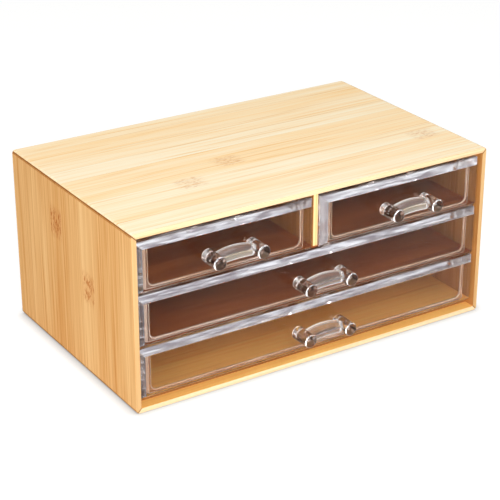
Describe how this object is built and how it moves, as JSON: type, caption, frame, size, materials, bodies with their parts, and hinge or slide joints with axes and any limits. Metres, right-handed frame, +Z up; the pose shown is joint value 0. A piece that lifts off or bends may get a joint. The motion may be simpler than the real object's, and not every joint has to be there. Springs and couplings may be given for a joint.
{
  "type": "jewelry box with drawers",
  "caption": "Desktop jewelry box: a mitred bamboo case holding rows of clear plastic drawers with bevelled fronts and moulded pulls.",
  "frame": {"origin": "middle of the underside of the bamboo case, on the surface that the box stands on", "axes": "+X to the viewer's right, +Y to the back, +Z up; the drawers slide out along -Y"},
  "size_m": [0.245, 0.1642, 0.1098],
  "materials": {
    "bamboo": "clear satin varnish over pale bamboo",
    "brown_board": "smooth brown wood-fibre board",
    "clear_plastic": "clear polished plastic"
  },
  "bodies": {
    "case": {"top_board": "bamboo", "bottom_board": "bamboo", "left_board": "bamboo", "right_board": "bamboo", "back_board": "bamboo", "base_panel": "bamboo", "lower_shelf": "brown_board", "upper_shelf": "brown_board", "centre_divider": "bamboo"},
    "upper_left_drawer": {"upper_left_tray": "clear_plastic", "upper_left_front": "clear_plastic", "upper_left_handle": "clear_plastic"},
    "upper_right_drawer": {"upper_right_tray": "clear_plastic", "upper_right_front": "clear_plastic", "upper_right_handle": "clear_plastic"},
    "middle_drawer": {"middle_tray": "clear_plastic", "middle_front": "clear_plastic", "middle_handle": "clear_plastic"},
    "lower_drawer": {"lower_tray": "clear_plastic", "lower_front": "clear_plastic", "lower_handle": "clear_plastic"}
  },
  "joints": [
    {"name": "upper_left_slide", "type": "slide", "parent": "case", "child": "upper_left_drawer", "axis": [0, -1, 0], "range_m": [0, 0.12]},
    {"name": "upper_right_slide", "type": "slide", "parent": "case", "child": "upper_right_drawer", "axis": [0, -1, 0], "range_m": [0, 0.12]},
    {"name": "middle_slide", "type": "slide", "parent": "case", "child": "middle_drawer", "axis": [0, -1, 0], "range_m": [0, 0.12]},
    {"name": "lower_slide", "type": "slide", "parent": "case", "child": "lower_drawer", "axis": [0, -1, 0], "range_m": [0, 0.12]}
  ]
}
